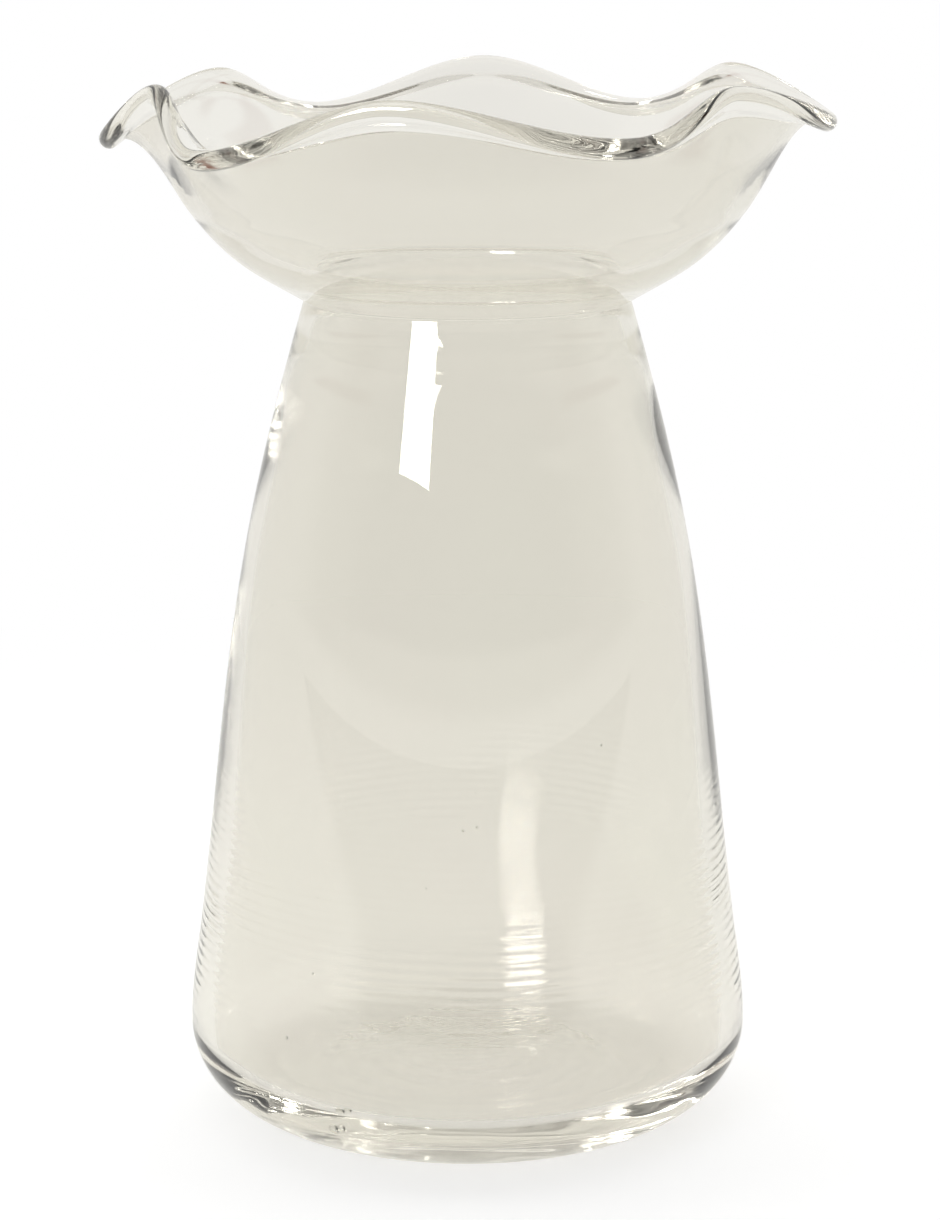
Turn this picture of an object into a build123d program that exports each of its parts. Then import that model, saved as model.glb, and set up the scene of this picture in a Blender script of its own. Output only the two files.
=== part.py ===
from build123d import *
import math
import os

# A bulb glass: one blown piece of clear glass, drawn as five regions that meet face to face.
# +Z is up, the origin is the centre of the ring that the glass stands on, and the front is -Y.

# Foot, heel and heavy floor
foot_radius = 26.0
foot_ring_width = 2.5
punt_depth = 1.2
heel_height = 14.0
widest_radius = 42.65
floor_thickness = 7.0
floor_crown = 0.6
floor_corner_width = 9.0
base_wall = 3.4

# Body, the tapering wall of the water chamber
body_height = 111.0
body_wall = 1.6

# Throat that the bulb sits over, smooth on the inside, and the pinched waist around it
throat_radius = 22.4
throat_wall = 1.9
throat_land = 2.4
crease_easing = 0.5
waist_lean_in = 16.0
waist_lean_out = 61.0
neck_below_waist = 7.0
neck_above_waist = 5.0

# Bowl, the smooth cup under the ruffle
bowl_height = 14.0
bowl_radius = 41.6
bowl_lean = 35.7
bowl_wall = 1.9
bowl_foot_wall = 2.3

# Ruffle, crimped by hand into uneven waves, with a thicker rounded bead at its fire-polished edge
valley_rise = 9.5
wave_height = 8.2
crest_radius = 47.0
wave_reach = 5.8
crest_tilt = 22.0
valley_tilt = 126.0
lip_wall = 1.6
edge_thickness = 3.0
slope_steps = 5

# Outlines: share of the way up the region, and from its narrow end to its wide end
body_outline_shares = [(0.12, 0.926), (0.35, 0.763), (0.7, 0.459)]
bowl_outline_shares = [(0.12, 0.169), (0.4, 0.538)]

# Walls: share of the way along the outline, and from the thinner wall to the thicker one
body_wall_shares = [(0.0, 1.0), (0.15, 0.95), (0.4, 0.65), (0.65, 0.25), (0.8, 0.05), (0.94, 0.0)]
bowl_wall_shares = [(0.45, 1.0), (0.75, 0.25)]
lip_wall_shares = [(0.25, 0.5), (0.5, 0.0), (0.75, 0.0), (0.84, 0.0)]

# Valleys and crests in turn: degrees from +X, shares of the wave's height, its reach and its tilt
wave_shares = [
    (0, 0.33, 1.0, 1.0), (31, 1.0, 0.1, 0.1),
    (59, 0.15, 0.85, 0.85), (87, 0.93, 0.65, 0.1),
    (117, 0.06, 0.88, 0.88), (145, 0.88, 0.0, 0.0),
    (179, 0.0, 1.0, 1.0), (203, 0.95, 0.15, 0.15),
    (225, 0.02, 0.88, 0.88), (258, 0.95, 0.4, 0.2),
    (295, 0.31, 0.75, 0.75), (322, 1.0, 0.0, 0.0),
]

middle_share = 0.5
overrun = 5.0
waist_radius = throat_radius + throat_wall
waist_z = heel_height + body_height
root_z = waist_z + bowl_height
quarter_turn = 90
full_turn = 360


def leaning(degrees_out):
    # direction in the section that leans out from straight up
    return Vector(math.sin(math.radians(degrees_out)), math.cos(math.radians(degrees_out)))


def inward(point, direction, wall):
    # point on the hollow side of a wall that runs up along direction
    return point + Vector(-direction.Y, direction.X) * wall


def between(start, end, share):
    return start + (end - start) * share


def outline_points(shares, wide, narrow):
    low, high = sorted((wide.Y, narrow.Y))
    return [Vector(between(narrow.X, wide.X, across), between(low, high, up)) for up, across in shares]


# Outside of the half section, from the foot to the root of the ruffle
straight_up = leaning(0)
straight_out = leaning(quarter_turn)
heel_top = Vector(widest_radius, heel_height)
waist = Vector(waist_radius, waist_z)
root = Vector(bowl_radius, root_z)

heel_line = EllipticalCenterArc(
    Vector(foot_radius, heel_height),
    widest_radius - foot_radius,
    heel_height,
    start_angle=-quarter_turn,
    arc_size=quarter_turn,
)
body_line = Spline(
    heel_top,
    *outline_points(body_outline_shares, heel_top, waist),
    waist,
    tangents=(straight_up, leaning(-waist_lean_in)),
)
bowl_line = Spline(
    waist,
    *outline_points(bowl_outline_shares, root, waist),
    root,
    tangents=(leaning(waist_lean_out), leaning(bowl_lean)),
)

# Inside of the half section, from the ruffle's root down to the middle of the floor
root_inside = root - straight_out * (bowl_wall / math.cos(math.radians(bowl_lean)))
bowl_inside = [
    inward(bowl_line @ along, bowl_line % along, between(bowl_wall, bowl_foot_wall, share))
    for along, share in bowl_wall_shares
]
land_top = Vector(throat_radius, waist_z + throat_land / 2)
land_bottom = Vector(throat_radius, waist_z - throat_land / 2)
body_inside = [
    inward(body_line @ along, body_line % along, between(body_wall, base_wall, share))
    for along, share in body_wall_shares
]
wall_foot = body_inside[0]
corner_foot = Vector(wall_foot.X - floor_corner_width, floor_thickness)
floor_middle = Vector(0, floor_thickness + floor_crown)
punt_middle = Vector(0, punt_depth)
ring_inside = Vector(foot_radius - foot_ring_width, 0)

section_lines = [
    heel_line,
    body_line,
    bowl_line,
    Line(root, root_inside),
    Spline(root_inside, *reversed(bowl_inside), land_top, tangents=(-leaning(bowl_lean), -straight_up)),
    Line(land_top, land_bottom),
    Spline(land_bottom, *reversed(body_inside), tangents=(-straight_up, -straight_up)),
    EllipticalCenterArc(
        Vector(corner_foot.X, wall_foot.Y),
        floor_corner_width,
        wall_foot.Y - floor_thickness,
        arc_size=-quarter_turn,
    ),
    Spline(corner_foot, floor_middle, tangents=(-straight_out, -straight_out)),
    Line(floor_middle, punt_middle),
    Spline(punt_middle, ring_inside, tangents=(straight_out, ring_inside - punt_middle)),
    Line(ring_inside, Vector(foot_radius, 0)),
]
half_section = make_face(Curve() + section_lines)
half_section = fillet(half_section.vertices().sort_by_distance(waist)[0], crease_easing)
turned_glass = revolve(Plane.XZ * half_section, Axis.Z, full_turn)


def region(low, high):
    # slice of the turned glass between two heights
    side = 2 * (max(widest_radius, bowl_radius) + overrun)
    slab = Box(side, side, high - low, align=(Align.CENTER, Align.CENTER, Align.MIN))
    return turned_glass & Pos(0, 0, low) * slab


def lip(angle):
    # middle and tilt of the rounded edge, eased from each turning point of the wave to the next
    closing = (wave_shares[0][0] + full_turn, *wave_shares[0][1:])
    for (start, *here), (end, *there) in zip(wave_shares, [*wave_shares[1:], closing]):
        if start <= angle < end:
            ease = (1 - math.cos(math.pi * (angle - start) / (end - start))) / 2
            high, reach, tilt = (between(a, b, ease) for a, b in zip(here, there))
            middle = Vector(crest_radius + wave_reach * reach, root_z + valley_rise + wave_height * high)
            return middle, between(crest_tilt, valley_tilt, tilt)


def ruffle_section(angle):
    # closed wire across the ruffle's wall, offset both ways from a line along its middle
    edge_middle, tilt = lip(angle)
    rise = leaning(bowl_lean)
    along = leaning(tilt)
    root_middle = between(root, root_inside, middle_share)
    middle_line = Spline(root_middle, edge_middle, tangents=(rise, along))
    walls = [(share, between(lip_wall, bowl_wall, thicker) / 2) for share, thicker in lip_wall_shares]
    walls.append((1.0, edge_thickness / 2))
    outside = [inward(middle_line @ share, middle_line % share, -wall) for share, wall in walls]
    inside = [inward(middle_line @ share, middle_line % share, wall) for share, wall in walls]
    lines = [
        Line(root_inside, root),
        Spline(root, *outside, tangents=(rise, along)),
        ThreePointArc(outside[-1], edge_middle + along * edge_thickness / 2, inside[-1]),
        Spline(*reversed(inside), root_inside, tangents=(-along, -rise)),
    ]
    facing = Vector(math.cos(math.radians(angle)), math.sin(math.radians(angle)))
    upright = Plane(origin=(0, 0, 0), x_dir=facing, z_dir=facing.cross(Vector(0, 0, 1)))
    return (upright * Wire(lines)).wire()


turning_angles = [turn[0] for turn in wave_shares]
ruffle_angles = [
    between(start, end, step / slope_steps)
    for start, end in zip(turning_angles, [*turning_angles[1:], turning_angles[0] + full_turn])
    for step in range(slope_steps)
]
ruffle_wires = [ruffle_section(angle) for angle in ruffle_angles]

neck_bottom = waist_z - neck_below_waist
neck_top = waist_z + neck_above_waist
nodes = {
    "base": region(0, heel_height),
    "body": region(heel_height, neck_bottom),
    "neck": region(neck_bottom, neck_top),
    "bowl": region(neck_top, root_z),
    "ruffle": Solid.make_loft([*ruffle_wires, ruffle_wires[0]]),
}

os.makedirs("parts", exist_ok=True)
for name, shape in nodes.items():
    shape.label = name
    export_step(shape, f"parts/{name}.step")
    print(f"{name}: {shape.volume:.0f} cubic mm, sound {shape.is_valid}")
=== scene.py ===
import bpy
import math
import numpy as np
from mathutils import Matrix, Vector


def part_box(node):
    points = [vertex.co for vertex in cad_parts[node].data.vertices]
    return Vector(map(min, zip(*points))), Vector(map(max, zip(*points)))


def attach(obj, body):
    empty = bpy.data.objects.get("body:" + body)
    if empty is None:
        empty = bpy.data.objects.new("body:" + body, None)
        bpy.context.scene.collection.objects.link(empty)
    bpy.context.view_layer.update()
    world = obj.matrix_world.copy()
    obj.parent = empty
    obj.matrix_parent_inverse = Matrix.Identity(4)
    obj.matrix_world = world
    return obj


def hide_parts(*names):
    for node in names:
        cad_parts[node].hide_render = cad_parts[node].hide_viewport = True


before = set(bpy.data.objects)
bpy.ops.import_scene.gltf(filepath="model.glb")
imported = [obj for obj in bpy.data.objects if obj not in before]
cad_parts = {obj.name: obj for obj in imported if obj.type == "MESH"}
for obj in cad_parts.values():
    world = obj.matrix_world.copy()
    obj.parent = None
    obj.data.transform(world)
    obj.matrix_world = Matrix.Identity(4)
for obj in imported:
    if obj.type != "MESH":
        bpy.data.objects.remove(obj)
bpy.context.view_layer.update()        # one body, root, and the five regions of the glass
mm = 0.001
print("frame loaded:", ", ".join(sorted(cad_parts)))

# What the frame says about the glass
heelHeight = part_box("base")[1].z
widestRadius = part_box("base")[1].x
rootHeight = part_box("bowl")[1].z
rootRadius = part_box("bowl")[1].x


# Small tools for the section, in radius and height

def leaning(degreesOut):
    return np.array([math.sin(math.radians(degreesOut)), math.cos(math.radians(degreesOut))])


def smoothLine(knots, startAim, endAim, count):
    # smooth curve through the knots, its points and the way it runs at each of them
    knots = np.array(knots, float)
    gaps = np.linalg.norm(np.diff(knots, axis=0), axis=1)
    size = len(knots)
    rows, goals = np.eye(size), np.zeros((size, 2))
    goals[0], goals[-1] = startAim, endAim
    for i in range(1, size - 1):
        before, after = gaps[i - 1], gaps[i]
        rows[i, i - 1:i + 2] = 1 / before, 2 / before + 2 / after, 1 / after
        goals[i] = 3 * (knots[i] - knots[i - 1]) / before**2 + 3 * (knots[i + 1] - knots[i]) / after**2
    slopes = np.linalg.solve(rows, goals)
    marks = np.concatenate([[0], np.cumsum(gaps)])
    points, aims = [], []
    for place in np.linspace(0, marks[-1], count):
        i = min(np.searchsorted(marks, place, side="right") - 1, size - 2)
        gap = gaps[i]
        t = (place - marks[i]) / gap
        a, b, m, n = knots[i], knots[i + 1], slopes[i] * gap, slopes[i + 1] * gap
        points.append(a + m * t + (3 * (b - a) - 2 * m - n) * t**2 + (2 * (a - b) + m + n) * t**3)
        aim = m + 2 * (3 * (b - a) - 2 * m - n) * t + 3 * (2 * (a - b) + m + n) * t**2
        aims.append(aim / np.linalg.norm(aim))
    return np.array(points), np.array(aims)


def quarterRound(start, across, down, count):
    # from a point on a wall down and in to the floor under it
    turns = np.linspace(0, math.pi / 2, count)
    return start - np.stack([across * (1 - np.cos(turns)), down * np.sin(turns)], 1)


def softCorner(before, after, radius, count):
    # two lines that meet at a corner, joined by a small round
    corner = before[-1]
    inAim, outAim = before[-2] - corner, after[1] - corner
    inAim, outAim = inAim / np.linalg.norm(inAim), outAim / np.linalg.norm(outAim)
    turn = math.pi - math.acos(np.clip(inAim @ outAim, -1, 1))
    reach = radius * math.tan(turn / 2)
    # points any nearer would crowd the round
    crowded = reach * 1.3
    before = before[np.linalg.norm(before - corner, axis=1) > crowded]
    after = after[np.linalg.norm(after - corner, axis=1) > crowded]
    t = np.linspace(0, 1, count)[:, None]
    start, end = corner + inAim * reach, corner + outAim * reach
    return np.concatenate([before, start * (1 - t)**2 + corner * 2 * t * (1 - t) + end * t**2, after])


def smoothShare(x):
    x = np.clip(x, 0, 1)
    return x * x * (3 - 2 * x)


def fadeIn(x, low, high):
    return smoothShare((x - low) / (high - low))


# The section of the glass, from the middle of its floor over the rim to the punt

glass = {
    "footRadius": 26 * mm,
    "ringWidth": 2.5 * mm,
    "punt": 1.2 * mm,
    "floor": 7.0 * mm,
    "crown": 1.1 * mm,
    "floorCorner": 9.0 * mm,
    "baseWall": 3.4 * mm,
    "bodyWall": 1.6 * mm,
    "throatRadius": 22.4 * mm,
    "throatWall": 1.9 * mm,
    "throatDrop": 1.5 * mm,
    "creaseRound": 0.5 * mm,
    "waistHeight": heelHeight + 111 * mm,
    "leanIn": -16,
    "leanOut": 61,
    "bowlLean": 35.7,
    "bowlWall": 1.9 * mm,
    "lipWall": 1.6 * mm,
    "edge": 2.98 * mm,
    # shares of the ruffle: where its wall has thinned, and the swelling at its edge
    "thinBy": 0.5,
    "beadShare": 0.17,
    # up the body and in from its widest, and along its wall from thin to thick
    "bodyShares": [(0.12, 0.926), (0.35, 0.763), (0.7, 0.459)],
    "bowlShares": [(0.12, 0.169), (0.4, 0.538)],
    "wallShares": [(0.0, 1.0), (0.15, 0.95), (0.4, 0.65), (0.65, 0.25), (0.8, 0.05), (0.94, 0.0)],
    "bowlWallShares": [(0.45, 2.3 * mm), (0.75, 2.0 * mm)],
    # rings in the mesh
    "columns": 320,
    "fineSteps": 801,
    "bodyRings": 44,
    "bowlRings": 22,
    "cupRings": 34,
    "wallRings": 56,
    "roundRings": 26,
    "floorRings": 36,
    "puntRings": 14,
    "creaseRings": 7,
    "ruffleRings": 14,
    "beadRings": 8,
    "edgeRings": 11,
    # rings that blowing left inside, far apart on the floor and close on the wall
    "floorRipples": 4.5 * mm,
    "wallRipples": 1.5 * mm,
    "floorRippleDepth": 0.04 * mm,
    "wallRippleDepth": 0.022 * mm,
    # where they fade: across the middle, along the inside from there, and up the wall
    "calmMiddle": (3 * mm, 11 * mm),
    "floorReach": (24 * mm, 32 * mm),
    "wallReach": (44 * mm, 58 * mm),
    "wallRippleTop": (26 * mm, 60 * mm),
    # how much more the floor sways than the wall
    "floorSway": 4.0,
}


def turnedLines():
    # outside from the waist down to the foot and up to the root, and inside from the root to the floor
    g = glass
    heelTop = np.array([widestRadius, heelHeight])
    waist = np.array([g["throatRadius"] + g["throatWall"], g["waistHeight"]])
    root = np.array([rootRadius, rootHeight])
    lift, reach = waist - heelTop, heelTop[0] - waist[0]
    bodyMiddle = [[waist[0] + reach * x, heelTop[1] + lift[1] * y] for y, x in g["bodyShares"]]
    bowlMiddle = [waist + (root - waist) * [x, y] for y, x in g["bowlShares"]]
    up, out = leaning(0), leaning(90)

    fine = g["fineSteps"]
    body, bodyAims = smoothLine([heelTop, *bodyMiddle, waist], up, leaning(g["leanIn"]), fine)
    rise = leaning(g["bowlLean"])
    bowl, bowlAims = smoothLine([waist, *bowlMiddle, root], leaning(g["leanOut"]), rise, fine)

    def inward(line, aims, share, wall):
        i = round(share * (len(line) - 1))
        return line[i] + np.array([-aims[i][1], aims[i][0]]) * wall

    walls = [
        inward(body, bodyAims, share, g["bodyWall"] + (g["baseWall"] - g["bodyWall"]) * thick)
        for share, thick in g["wallShares"]
    ]
    rootInside = root - out * g["bowlWall"] / math.cos(math.radians(g["bowlLean"]))
    throat = np.array([g["throatRadius"], waist[1] - g["throatDrop"]])
    bowlInside = [inward(bowl, bowlAims, share, wall) for share, wall in g["bowlWallShares"]]
    cup = smoothLine([rootInside, *reversed(bowlInside), throat], -rise, -up, g["cupRings"])[0]
    wall = smoothLine([throat, *reversed(walls)], -up, -up, g["wallRings"])[0]
    foot = wall[-1]
    corner = quarterRound(foot, g["floorCorner"], foot[1] - g["floor"], g["roundRings"])
    floor = smoothLine([corner[-1], [0, g["floor"] + g["crown"]]], -out, -out, g["floorRings"])[0]
    inside = np.concatenate([cup, wall[1:], corner[1:], floor[1:]])

    outsideBody = body[np.linspace(fine - 1, 0, g["bodyRings"]).round().astype(int)]
    outsideBowl = bowl[np.linspace(fine - 1, 0, g["bowlRings"]).round().astype(int)]
    heel = quarterRound(heelTop, heelTop[0] - g["footRadius"], heelHeight, g["roundRings"])
    ringInside = np.array([g["footRadius"] - g["ringWidth"], 0])
    punt = smoothLine([[0, g["punt"]], ringInside], out, ringInside - [0, g["punt"]], g["puntRings"])[0][::-1]
    outside = softCorner(outsideBowl, outsideBody, g["creaseRound"], g["creaseRings"])
    outside = np.concatenate([outside, heel[1:], [[g["footRadius"] - g["ringWidth"] / 2, 0]], punt])
    return inside[::-1], outside, root, rootInside


def makeSection():
    # a line of points, one for each ring, that also carries what the ruffle's rings and the ripples need
    g = glass
    inside, outside, root, rootInside = turnedLines()
    beadStart = 1 - g["beadShare"]
    shares = np.linspace(0, beadStart, g["ruffleRings"] + 1)[1:]
    shares = np.concatenate([shares, np.linspace(beadStart, 1, g["beadRings"] + 1)[1:]])
    half = (g["bowlWall"] + (g["lipWall"] - g["bowlWall"]) * smoothShare(shares / g["thinBy"])) / 2
    half = half + (g["edge"] - g["lipWall"]) / 2 * fadeIn(shares, beadStart, 1)
    turns = np.radians(np.linspace(-90, 90, g["edgeRings"] + 2)[1:-1])
    rings = [(*p, 0, 0, 0) for p in inside]
    rings += [(*root, share, -side, 0) for share, side in zip(shares, half)]
    rings += [(*root, 1, math.sin(turn) * g["edge"] / 2, math.cos(turn) * g["edge"] / 2) for turn in turns]
    rings += [(*root, share, side, 0) for share, side in reversed(list(zip(shares, half)))]
    rings += [(*p, 0, 0, 0) for p in outside]
    rings = np.array(rings)

    mesh = bpy.data.meshes.new("glassSection")
    points = [(radius, 0, height) for radius, height in rings[:, :2]]
    mesh.from_pydata(points, [(i, i + 1) for i in range(len(points) - 1)], [])
    radius, height = rings[:, 0], rings[:, 1]
    steps = np.linalg.norm(np.diff(rings[:, :2], axis=0), axis=1)
    along = np.concatenate([[0], np.cumsum(steps)])
    onFloor, onWall = 1 - fadeIn(along, *g["floorReach"]), fadeIn(along, *g["wallReach"])
    spacing = g["floorRipples"] + (g["wallRipples"] - g["floorRipples"]) * (1 - onFloor)
    onInside = np.arange(len(rings)) < len(inside)
    floorDepth = g["floorRippleDepth"] * fadeIn(radius, *g["calmMiddle"]) * onFloor
    wallDepth = g["wallRippleDepth"] * (1 - fadeIn(height, *g["wallRippleTop"])) * onWall
    carried = {
        "ruffleShare": rings[:, 2],
        "sideways": rings[:, 3],
        "bulge": rings[:, 4],
        "inner": onInside * fadeIn(radius, 0, g["calmMiddle"][0]) * (1 + g["floorSway"] * onFloor),
        "ripple": np.concatenate([[0], np.cumsum(steps / spacing[1:])]),
        "rippleDepth": (floorDepth + wallDepth) * onInside,
    }
    for name, values in carried.items():
        mesh.attributes.new(name, "FLOAT", "POINT").data.foreach_set("value", values.astype(np.float32))
    section = bpy.data.objects.new("glassSection", mesh)
    bpy.context.scene.collection.objects.link(section)
    return section, (root + rootInside) / 2


# Geometry nodes

class NodeBench:
    # puts nodes in a tree and wires them by socket name or place
    def __init__(self, tree):
        self.tree = tree

    def put(self, kind, wires=None, **settings):
        made = self.tree.nodes.new(kind)
        for name, value in settings.items():
            setattr(made, name, value)
        for name, value in (wires or {}).items():
            if isinstance(name, int):
                socket = made.inputs[name]
            else:
                socket = next(s for s in made.inputs if name in (s.identifier, s.name) and s.enabled)
            if isinstance(value, bpy.types.NodeSocket):
                self.tree.links.new(value, socket)
            else:
                socket.default_value = value
        return made

    def calc(self, operation, *values):
        return self.put("ShaderNodeMath", dict(enumerate(values)), operation=operation).outputs[0]

    def vector(self, operation, *values):
        return self.put("ShaderNodeVectorMath", dict(enumerate(values)), operation=operation).outputs[0]

    def scaled(self, value, scale):
        return self.put("ShaderNodeVectorMath", {0: value, "Scale": scale}, operation="SCALE").outputs[0]

    def blend(self, share, start, end):
        wires = {"Factor_Float": share, "A_Vector": start, "B_Vector": end}
        made = self.put("ShaderNodeMix", wires, data_type="VECTOR")
        return next(s for s in made.outputs if s.enabled)

    def tint(self, share, start, end):
        wires = {"Factor_Float": share, "A_Color": start, "B_Color": end}
        made = self.put("ShaderNodeMix", wires, data_type="RGBA")
        return next(s for s in made.outputs if s.enabled)

    def named(self, name):
        return self.put("GeometryNodeInputNamedAttribute", {"Name": name}, data_type="FLOAT").outputs[0]


# crests and valleys in turn: degrees round from +X, shares of the wave's height, its reach and its tilt
waves = {
    "turns": [
        (0, 0.33, 1.0, 1.0), (31, 1.0, 0.1, 0.1),
        (59, 0.15, 0.85, 0.85), (87, 0.93, 0.65, 0.1),
        (117, 0.06, 0.88, 0.88), (145, 0.88, 0.0, 0.0),
        (179, 0.0, 1.0, 1.0), (203, 0.95, 0.15, 0.15),
        (225, 0.02, 0.88, 0.88), (258, 0.95, 0.4, 0.2),
        (295, 0.31, 0.75, 0.75), (322, 1.0, 0.0, 0.0),
    ],
    "Crest Radius": 47 * mm,
    "Wave Reach": 5.8 * mm,
    "Valley Rise": 9.5 * mm,
    "Wave Height": 8.2 * mm,
    "Crest Tilt": math.radians(22),
    "Valley Tilt": math.radians(126),
    "Root Hold": 0.5,
    "Edge Bend": 0.33,
    "Sway Depth": 0.05 * mm,
    "Sway Scale": 90.0,
    "Sway Squash": 0.3,
    "Seed": 4,
}


def blownGlassTree(rootMiddle, material):
    tree = bpy.data.node_groups.new("blownGlass", "GeometryNodeTree")
    face = tree.interface
    face.new_socket(name="Geometry", in_out="INPUT", socket_type="NodeSocketGeometry")
    face.new_socket(name="Columns", in_out="INPUT", socket_type="NodeSocketInt")
    for name, value in waves.items():
        if name != "turns":
            kind = "NodeSocketInt" if name == "Seed" else "NodeSocketFloat"
            face.new_socket(name=name, in_out="INPUT", socket_type=kind).default_value = value
    face.new_socket(name="Geometry", in_out="OUTPUT", socket_type="NodeSocketGeometry")
    bench = NodeBench(tree)
    put, calc, vector, blend, scaled = bench.put, bench.calc, bench.vector, bench.blend, bench.scaled
    given = put("NodeGroupInput").outputs

    # a ball with one ring for each point of the section: its poles close the floor and the punt
    size = put("GeometryNodeAttributeDomainSize", {"Geometry": given["Geometry"]}, component="MESH")
    rings = calc("SUBTRACT", size.outputs["Point Count"], 1.0)
    ball = put("GeometryNodeMeshUVSphere", {"Segments": given["Columns"], "Rings": rings})
    index = put("GeometryNodeInputIndex").outputs[0]
    ring = calc("CEIL", calc("DIVIDE", index, given["Columns"]))
    column = calc("FLOORED_MODULO", calc("SUBTRACT", index, 1.0), given["Columns"])
    angle = calc("MULTIPLY", calc("DIVIDE", column, given["Columns"]), math.tau)

    def fromSection(value, kind):
        wires = {"Geometry": given["Geometry"], "Value": value, "Index": ring}
        return put("GeometryNodeSampleIndex", wires, data_type=kind, domain="POINT").outputs[0]

    turned = fromSection(put("GeometryNodeInputPosition").outputs[0], "FLOAT_VECTOR")
    carried = ("ruffleShare", "sideways", "bulge", "inner")
    share, sideways, bulge, inner = [fromSection(bench.named(name), "FLOAT") for name in carried]

    # the wave round the rim, eased from each turning point to the next: height, reach and tilt
    turns = waves["turns"] + [(360, *waves["turns"][0][1:])]
    wave = turns[0][1:]
    for (start, *here), (end, *there) in zip(turns, turns[1:]):
        step = put("ShaderNodeMapRange", {
            "Vector": angle,
            "From_Min_FLOAT3": [math.radians(start)] * 3,
            "From_Max_FLOAT3": [math.radians(end)] * 3,
            "To_Min_FLOAT3": (0, 0, 0),
            "To_Max_FLOAT3": [b - a for a, b in zip(here, there)],
        }, data_type="FLOAT_VECTOR", interpolation_type="SMOOTHSTEP")
        wave = vector("ADD", wave, step.outputs["Vector"])
    wave = put("ShaderNodeSeparateXYZ", {0: wave}).outputs

    # each column's middle line leaves the bowl with its lean and ends with the rim's own tilt
    edgeRadius = calc("MULTIPLY_ADD", wave[1], given["Wave Reach"], given["Crest Radius"])
    lowest = calc("ADD", given["Valley Rise"], rootHeight)
    edgeHeight = calc("MULTIPLY_ADD", wave[0], given["Wave Height"], lowest)
    moreTilt = calc("SUBTRACT", given["Valley Tilt"], given["Crest Tilt"])
    tilt = calc("MULTIPLY_ADD", wave[2], moreTilt, given["Crest Tilt"])
    aim = put("ShaderNodeCombineXYZ", {0: calc("SINE", tilt), 2: calc("COSINE", tilt)}).outputs[0]
    root = (rootMiddle[0], 0.0, rootMiddle[1])
    rise = (leaning(glass["bowlLean"])[0], 0.0, leaning(glass["bowlLean"])[1])
    edge = put("ShaderNodeCombineXYZ", {0: edgeRadius, 2: edgeHeight}).outputs[0]
    length = put("ShaderNodeVectorMath", {0: edge, 1: root}, operation="DISTANCE").outputs["Value"]
    hold, bend = [calc("MULTIPLY", length, given[name]) for name in ("Root Hold", "Edge Bend")]
    hulls = [
        root,
        vector("ADD", root, scaled(rise, hold)),
        vector("SUBTRACT", edge, scaled(aim, bend)),
        edge,
    ]
    while len(hulls) > 2:
        hulls = [blend(share, start, end) for start, end in zip(hulls, hulls[1:])]
    middle = blend(share, *hulls)
    tangent = vector("NORMALIZE", vector("SUBTRACT", hulls[1], hulls[0]))
    outward = vector("CROSS_PRODUCT", (0, 1, 0), tangent)
    place = vector("ADD", middle, scaled(outward, sideways))
    place = vector("ADD", place, scaled(tangent, bulge))
    onRuffle = calc("GREATER_THAN", share, 0.0)
    wires = {"Switch": onRuffle, "False": turned, "True": place}
    flat = put("GeometryNodeSwitch", wires, input_type="VECTOR").outputs[0]
    wires = {"Vector": flat, "Angle": angle}
    placed = put("ShaderNodeVectorRotate", wires, rotation_type="Z_AXIS").outputs[0]
    shape = put("GeometryNodeSetPosition", {"Geometry": ball.outputs["Mesh"], "Position": placed}).outputs[0]

    # slow sway of the inner wall, drawn out upwards
    squash = put("ShaderNodeCombineXYZ", {0: 1.0, 1: 1.0, 2: given["Sway Squash"]}).outputs[0]
    drawnUp = vector("MULTIPLY", placed, squash)
    wires = {"Vector": drawnUp, "W": given["Seed"], "Scale": given["Sway Scale"], "Detail": 0.0}
    sway = put("ShaderNodeTexNoise", wires, noise_dimensions="4D").outputs[0]
    sway = calc("MULTIPLY", calc("SUBTRACT", sway, 0.5), calc("MULTIPLY", inner, given["Sway Depth"]))
    offset = scaled(put("GeometryNodeInputNormal").outputs[0], sway)
    shape = put("GeometryNodeSetPosition", {"Geometry": shape, "Offset": offset}).outputs[0]

    # the glass material draws the ripples from these
    for name in ("ripple", "rippleDepth"):
        wires = {"Geometry": shape, "Name": name, "Value": fromSection(bench.named(name), "FLOAT")}
        shape = put("GeometryNodeStoreNamedAttribute", wires, data_type="FLOAT", domain="POINT").outputs[0]
    shape = put("GeometryNodeSetShadeSmooth", {"Geometry": shape}).outputs[0]
    shape = put("GeometryNodeRealizeInstances", {"Geometry": shape}).outputs[0]
    shape = put("GeometryNodeSetMaterial", {"Geometry": shape, "Material": material}).outputs[0]
    put("NodeGroupOutput", {"Geometry": shape})
    return tree


def grownPiece(name, holder, tree, settings, material):
    # runs a tree on its holder and keeps the result as a plain mesh piece
    modifier = holder.modifiers.new(tree.name, "NODES")
    modifier.node_group = tree
    for item in tree.interface.items_tree:
        if item.in_out == "INPUT" and item.name in settings:
            modifier[item.identifier] = settings[item.name]
    graph = bpy.context.evaluated_depsgraph_get()
    mesh = bpy.data.meshes.new_from_object(holder.evaluated_get(graph), depsgraph=graph)
    bpy.data.objects.remove(holder)
    mesh.name = name
    if not mesh.materials:
        mesh.materials.append(material)
    piece = bpy.data.objects.new(name, mesh)
    bpy.context.scene.collection.objects.link(piece)
    return piece


# Materials

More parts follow.
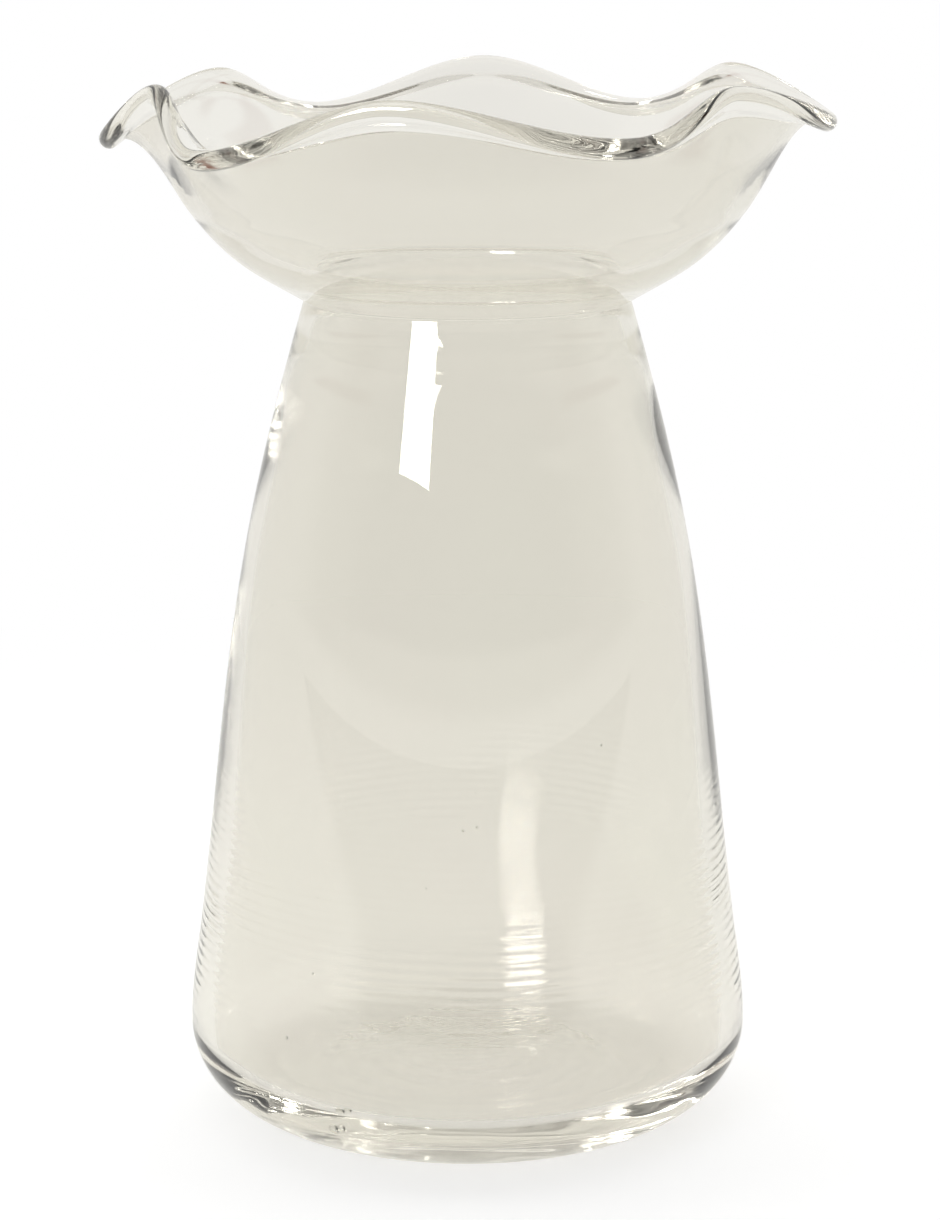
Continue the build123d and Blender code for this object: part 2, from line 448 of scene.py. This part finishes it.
glassFinish = {
    "colour": (0.926, 0.922, 0.89, 1),
    # painted reflection: noise patches of a pinker tint in the glass colour stand in for pinkish reflections
    # of the room
    "paintedReflection": (0.927, 0.915, 0.89, 1),
    "paintedReflectionSize": 30.0,
    "ior": 1.5,
    # a ray that wanders on inside the thick rim or heel is tinted by its first crossings only
    "tintedCrossings": 5,
    "shadow": (0.97, 0.965, 0.955, 1),
    # the rings climb a little round the glass, wander, and come and go in patches
    "slant": 3.0,
    "wander": 5.0,
    "wanderSize": 45.0,
    "patchSize": 90.0,
    "patchRange": (0.35, 0.65),
    "patchLeast": 0.15,
    "streakDepth": 0.0006 * mm,
    "streakSize": 450.0,
    "streakStretch": 0.04,
}


def glassBump(bench, place):
    # rings inside the wall and floor, and faint streaks drawn out down the body
    put, calc, finish = bench.put, bench.calc, glassFinish

    def noise(where, size):
        return put("ShaderNodeTexNoise", {"Vector": where, "Scale": size, "Detail": 1.0}).outputs[0]

    axes = put("ShaderNodeSeparateXYZ", {0: place}).outputs
    angle = calc("ARCTAN2", axes[1], axes[0])
    ripple = put("ShaderNodeAttribute", attribute_name="ripple").outputs["Fac"]
    depth = put("ShaderNodeAttribute", attribute_name="rippleDepth").outputs["Fac"]
    climb = calc("MULTIPLY", calc("SINE", angle), finish["slant"])
    phase = calc("MULTIPLY_ADD", ripple, math.tau, climb)
    phase = calc("MULTIPLY_ADD", noise(place, finish["wanderSize"]), finish["wander"], phase)
    low, high = finish["patchRange"]
    wires = {"Value": noise(place, finish["patchSize"]), 1: low, 2: high, 3: finish["patchLeast"], 4: 1.0}
    patchy = put("ShaderNodeMapRange", wires).outputs[0]
    rings = calc("MULTIPLY", calc("MULTIPLY", calc("SINE", phase), depth), patchy)
    streaks = noise(bench.vector("MULTIPLY", place, (1, 1, finish["streakStretch"])), finish["streakSize"])
    height = calc("MULTIPLY_ADD", streaks, finish["streakDepth"], rings)
    return put("ShaderNodeBump", {"Strength": 1.0, "Distance": 1.0, "Height": height}).outputs[0]


def clearGlass():
    material = bpy.data.materials.new("clearGlass")
    material.use_nodes = True
    material.node_tree.nodes.clear()
    bench = NodeBench(material.node_tree)
    place = bench.put("ShaderNodeTexCoord").outputs["Object"]
    # painted reflection: pinker noise patches mixed into the glass colour, in place of the room's pinkish
    # reflections
    patches = bench.put("ShaderNodeTexNoise", {"Vector": place, "Scale": glassFinish["paintedReflectionSize"]}).outputs[0]
    tint = bench.tint(patches, glassFinish["colour"], glassFinish["paintedReflection"])
    path = bench.put("ShaderNodeLightPath").outputs
    wandering = bench.calc("GREATER_THAN", path["Ray Depth"], glassFinish["tintedCrossings"] - 0.5)
    tint = bench.tint(wandering, tint, (1, 1, 1, 1))
    wires = {"Color": tint, "IOR": glassFinish["ior"], "Roughness": 0.0, "Normal": glassBump(bench, place)}
    body = bench.put("ShaderNodeBsdfGlass", wires)
    through = bench.put("ShaderNodeBsdfTransparent", {"Color": glassFinish["shadow"]})
    wires = {0: path["Is Shadow Ray"], 1: body.outputs[0], 2: through.outputs[0]}
    mixed = bench.put("ShaderNodeMixShader", wires)
    bench.put("ShaderNodeOutputMaterial", {"Surface": mixed.outputs[0]})
    return material


# The vase

glassMaterial = clearGlass()
section, rootMiddle = makeSection()
settings = {"Columns": glass["columns"], **{k: v for k, v in waves.items() if k != "turns"}}
vase = grownPiece("blown_glass", section, blownGlassTree(rootMiddle, glassMaterial), settings, glassMaterial)
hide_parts("base", "body", "neck", "bowl", "ruffle")
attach(vase, "root")
print("glass blown:", len(vase.data.vertices), "points,", len(vase.data.polygons), "faces")


# Seeds, the small bubbles caught in the wall: degrees from +X, height, share of the way in from outside, size
seeds = {
    "placed": [
        (-119.3, 7.9, 0.3, 1.5), (-117.2, 8.3, 0.3, 1.2),
        (-87.9, 53.8, 0.5, 0.35), (-91.0, 53.3, 0.5, 0.35),
        (-129.8, 20.3, 0.5, 0.4), (-124.3, 30.5, 0.5, 0.35),
        (-105.6, 24.6, 0.5, 0.3), (-57.8, 64.2, 0.5, 0.3),
    ],
    "more": 14,
    "between": (16, 112),
    "sizes": (0.1, 0.22),
    "Columns": 24,
    "Rings": 14,
    "Stretch": 0.25,
    "Seed": 7,
}


def seedPoints():
    inside, outside = turnedLines()[:2]
    rising = inside[np.argmin(inside[:, 1]):]
    falling = outside[outside[:, 1] < glass["waistHeight"]][::-1]
    chance = np.random.default_rng(seeds["Seed"])
    more = [
        (chance.uniform(-180, 180), chance.uniform(*seeds["between"]), 0.5, chance.uniform(*seeds["sizes"]))
        for _ in range(seeds["more"])
    ]
    points, sizes = [], []
    for degrees, height, share, size in seeds["placed"] + more:
        inner = np.interp(height * mm, rising[:, 1], rising[:, 0])
        outer = np.interp(height * mm, falling[:, 1], falling[:, 0])
        radius, turn = outer + (inner - outer) * share, math.radians(degrees)
        points.append((radius * math.cos(turn), radius * math.sin(turn), height * mm))
        sizes.append(size * mm)
    mesh = bpy.data.meshes.new("seedPoints")
    mesh.from_pydata(points, [], [])
    mesh.attributes.new("size", "FLOAT", "POINT").data.foreach_set("value", sizes)
    holder = bpy.data.objects.new("seedPoints", mesh)
    bpy.context.scene.collection.objects.link(holder)
    return holder


def seedTree(material):
    tree = bpy.data.node_groups.new("seedBubbles", "GeometryNodeTree")
    face = tree.interface
    face.new_socket(name="Geometry", in_out="INPUT", socket_type="NodeSocketGeometry")
    face.new_socket(name="Stretch", in_out="INPUT", socket_type="NodeSocketFloat")
    for name in ("Columns", "Rings", "Seed"):
        face.new_socket(name=name, in_out="INPUT", socket_type="NodeSocketInt")
    face.new_socket(name="Geometry", in_out="OUTPUT", socket_type="NodeSocketGeometry")
    bench = NodeBench(tree)
    given = bench.put("NodeGroupInput").outputs
    # a ball one unit across, so that its scale is the size
    wires = {"Segments": given["Columns"], "Rings": given["Rings"], "Radius": 0.5}
    ball = bench.put("GeometryNodeMeshUVSphere", wires).outputs["Mesh"]
    wires = {"Min": 0.0, "Max": 1.0, "Seed": given["Seed"]}
    chance = bench.put("FunctionNodeRandomValue", wires, data_type="FLOAT")
    chance = next(s for s in chance.outputs if s.enabled)
    tall = bench.calc("MULTIPLY_ADD", chance, given["Stretch"], 1.0)
    scale = bench.put("ShaderNodeCombineXYZ", {0: 1.0, 1: 1.0, 2: tall}).outputs[0]
    wires = {"Points": given["Geometry"], "Instance": ball, "Scale": bench.scaled(scale, bench.named("size"))}
    shape = bench.put("GeometryNodeInstanceOnPoints", wires).outputs[0]
    shape = bench.put("GeometryNodeRealizeInstances", {"Geometry": shape}).outputs[0]
    shape = bench.put("GeometryNodeSetShadeSmooth", {"Geometry": shape}).outputs[0]
    shape = bench.put("GeometryNodeSetMaterial", {"Geometry": shape, "Material": material}).outputs[0]
    bench.put("NodeGroupOutput", {"Geometry": shape})
    return tree


bubbleFinish = {
    "ior": 1.45,
    "grainSize": 3000.0,
    "grainDepth": 0.02 * mm,
}


def bubbleGlass():
    finish = bubbleFinish
    material = bpy.data.materials.new("bubbleGlass")
    material.use_nodes = True
    material.node_tree.nodes.clear()
    bench = NodeBench(material.node_tree)
    place = bench.put("ShaderNodeTexCoord").outputs["Object"]
    wires = {"Vector": place, "Scale": finish["grainSize"], "Detail": 1.0}
    grain = bench.put("ShaderNodeTexNoise", wires).outputs[0]
    wires = {"Strength": 1.0, "Distance": finish["grainDepth"], "Height": grain}
    dent = bench.put("ShaderNodeBump", wires).outputs[0]
    wires = {"Color": glassFinish["colour"], "IOR": finish["ior"], "Roughness": 0.0, "Normal": dent}
    body = bench.put("ShaderNodeBsdfGlass", wires)
    bench.put("ShaderNodeOutputMaterial", {"Surface": body.outputs[0]})
    return material


bubbleMaterial = bubbleGlass()
bubbles = grownPiece("seed_bubbles", seedPoints(), seedTree(bubbleMaterial), seeds, bubbleMaterial)
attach(bubbles, "root")
print("seeds placed:", len(seeds["placed"]) + seeds["more"])


# Studio

studio = {
    "floorRadius": 3.0,
    "floorSides": 128,
    "floorDrop": 0.05 * mm,
    "floorColour": (0.8, 0.8, 0.8, 1),
    "floorGlow": 0.44,
    # the floor's shading fades to plain white between these distances
    "shadeNear": 0.12,
    "shadeFar": 0.35,
    # in front the paper ends here, and the glass mirrors the dark room beyond it
    "paperEnd": (0.27, 0.36),
    # the room is dark above the horizon on the camera's side, and a pale wall behind ends overhead
    "horizon": (0, 2),
    "roomDark": 0.2,
    "wallSide": (-0.3, 0.2),
    # and reaches further round for what is seen through the glass
    "seenThrough": 0.4,
    "wallTop": (40, 65),
    "wallTopLight": 0.85,
    # wood at the sides of the room
    "woodSide": (0.8, 0.88),
    "woodLow": (14, 18),
    "woodHigh": (24, 28),
    "woodColour": (0.28, 0.1, 0.06, 1),
    "key": {
        "azimuth": -30,
        "elevation": 29.3,
        "distance": 1.2,
        "width": 0.36,
        "height": 0.56,
        "glow": 10.5,
        "shine": 23,
    },
    "aimHeight": 0.09,
    # two lamps in one place hide each other, so the one that the glass mirrors stands this much nearer
    "shineNearer": 0.01,
}


def lightPathShare(bench, *names):
    path = bench.put("ShaderNodeLightPath")
    total = path.outputs[names[0]]
    for name in names[1:]:
        total = bench.calc("MAXIMUM", total, path.outputs[name])
    return total


def paleFloor():
    sides, radius = studio["floorSides"], studio["floorRadius"]
    bpy.ops.mesh.primitive_circle_add(vertices=sides, radius=radius, fill_type="NGON")
    floor = bpy.context.object
    floor.location.z = -studio["floorDrop"]
    floor.name = "paleFloor"
    material = bpy.data.materials.new("paleFloor")
    material.use_nodes = True
    material.node_tree.nodes.clear()
    bench = NodeBench(material.node_tree)
    matt = bench.put("ShaderNodeBsdfDiffuse", {"Color": studio["floorColour"]})
    seen = lightPathShare(bench, "Is Camera Ray", "Is Glossy Ray", "Is Transmission Ray")
    glow = bench.calc("MULTIPLY", seen, studio["floorGlow"])
    glow = bench.put("ShaderNodeEmission", {"Color": (1, 1, 1, 1), "Strength": glow})
    both = bench.put("ShaderNodeAddShader", {0: matt.outputs[0], 1: glow.outputs[0]})
    place = bench.put("ShaderNodeTexCoord").outputs["Object"]
    front = bench.calc("MULTIPLY", bench.put("ShaderNodeSeparateXYZ", {0: place}).outputs[1], -1.0)
    end, gone = studio["paperEnd"]
    wires = {"Value": front, 1: end, 2: gone, 3: 1.0, 4: studio["roomDark"]}
    paper = bench.put("ShaderNodeMapRange", wires, interpolation_type="SMOOTHSTEP").outputs[0]
    paper = bench.calc("MAXIMUM", paper, lightPathShare(bench, "Is Camera Ray", "Is Transmission Ray"))
    paper = bench.calc("MULTIPLY", seen, paper)
    white = bench.put("ShaderNodeEmission", {"Color": (1, 1, 1, 1), "Strength": paper})
    away = bench.put("ShaderNodeVectorMath", {0: place}, operation="LENGTH").outputs["Value"]
    wires = {"Value": away, 1: studio["shadeNear"], 2: studio["shadeFar"], 3: 0.0, 4: 1.0}
    far = bench.put("ShaderNodeMapRange", wires, interpolation_type="SMOOTHSTEP").outputs[0]
    mixed = bench.put("ShaderNodeMixShader", {0: far, 1: both.outputs[0], 2: white.outputs[0]})
    bench.put("ShaderNodeOutputMaterial", {"Surface": mixed.outputs[0]})
    floor.data.materials.append(material)


def studioWorld():
    world = bpy.data.worlds.new("studio")
    bpy.context.scene.world = world
    world.use_nodes = True
    world.node_tree.nodes.clear()
    bench = NodeBench(world.node_tree)
    put, calc = bench.put, bench.calc
    path = put("ShaderNodeLightPath").outputs
    aim = put("ShaderNodeSeparateXYZ", {0: put("ShaderNodeTexCoord").outputs["Generated"]}).outputs

    def change(value, low, high, start, end):
        wires = {"Value": value, 1: low, 2: high, 3: start, 4: end}
        return put("ShaderNodeMapRange", wires, interpolation_type="SMOOTHSTEP").outputs[0]

    def rise(name, start, end):
        # changes with the elevation, from and to so many degrees
        return change(aim[2], *[math.sin(math.radians(d)) for d in studio[name]], start, end)

    side = calc("MULTIPLY_ADD", path["Is Transmission Ray"], studio["seenThrough"], aim[1])
    behind = change(side, *studio["wallSide"], 0.0, 1.0)
    wall = calc("MULTIPLY", behind, rise("wallTop", 1.0, studio["wallTopLight"]))
    light = calc("MAXIMUM", wall, rise("horizon", 1.0, 0.0))
    light = calc("MULTIPLY_ADD", light, 1 - studio["roomDark"], studio["roomDark"])
    light = calc("MAXIMUM", light, path["Is Camera Ray"])
    wood = calc("MULTIPLY", rise("woodLow", 0.0, 1.0), rise("woodHigh", 1.0, 0.0))
    wood = calc("MULTIPLY", wood, change(calc("ABSOLUTE", aim[0]), *studio["woodSide"], 0.0, 1.0))
    wood = calc("MULTIPLY", wood, path["Is Glossy Ray"])
    colour = bench.tint(wood, (1, 1, 1, 1), studio["woodColour"])
    glow = put("ShaderNodeBackground", {"Color": colour, "Strength": light})
    put("ShaderNodeOutputWorld", {"Surface": glow.outputs[0]})


def softbox(name, azimuth, elevation, distance, width, height, glow, shine):
    # azimuth 0 is behind the camera and grows to its right
    # glow lights the floor, and shine is what the glass mirrors
    a, e = math.radians(azimuth), math.radians(elevation)
    away = np.array([math.sin(a) * math.cos(e), -math.cos(a) * math.cos(e), math.sin(e)])
    for kind, level, nearer in (("Glow", glow, 0), ("Shine", shine, studio["shineNearer"])):
        lamp = bpy.data.lights.new(name + kind, "AREA")
        lamp.shape = "RECTANGLE"
        lamp.size, lamp.size_y, lamp.energy = width, height, level * math.pi * width * height
        if kind == "Shine":
            lamp.use_nodes = True
            bench = NodeBench(lamp.node_tree)
            lamp.node_tree.nodes.clear()
            direct = bench.calc("LESS_THAN", bench.put("ShaderNodeLightPath").outputs["Diffuse Depth"], 0.5)
            lit = bench.put("ShaderNodeEmission", {"Color": (1, 1, 1, 1), "Strength": direct})
            bench.put("ShaderNodeOutputLight", {"Surface": lit.outputs[0]})
        box = bpy.data.objects.new(name + kind, lamp)
        bpy.context.scene.collection.objects.link(box)
        box.location = np.array([0, 0, studio["aimHeight"]]) + away * (distance - nearer)
        box.rotation_euler = Vector(-away).to_track_quat("-Z", "Y").to_euler()
        box.visible_camera = False
        box.visible_diffuse = kind == "Glow"
        box.visible_glossy = box.visible_transmission = kind == "Shine"


paleFloor()
studioWorld()
softbox("key", **studio["key"])
print("studio set")

camera = {
    "place": (0, -0.5307, 0.1933),
    "pitchDown": 12.31,
    "lens": 105.8,
    "sensor": 36,
    "shift": 0.00205,
    "clip": (0.01, 20),
    "bounces": 40,
}
lens = bpy.data.cameras.new("photoCamera")
lens.lens, lens.sensor_width, lens.shift_x = camera["lens"], camera["sensor"], camera["shift"]
lens.clip_start, lens.clip_end = camera["clip"]
viewer = bpy.data.objects.new("photoCamera", lens)
viewer.location = camera["place"]
viewer.rotation_euler = (math.radians(90 - camera["pitchDown"]), 0, 0)
bpy.context.scene.collection.objects.link(viewer)
bpy.context.scene.camera = viewer
bpy.context.scene.view_settings.view_transform = "Standard"
cycles = bpy.context.scene.cycles
cycles.max_bounces = cycles.transmission_bounces = cycles.glossy_bounces = camera["bounces"]
cycles.sample_clamp_indirect = 0
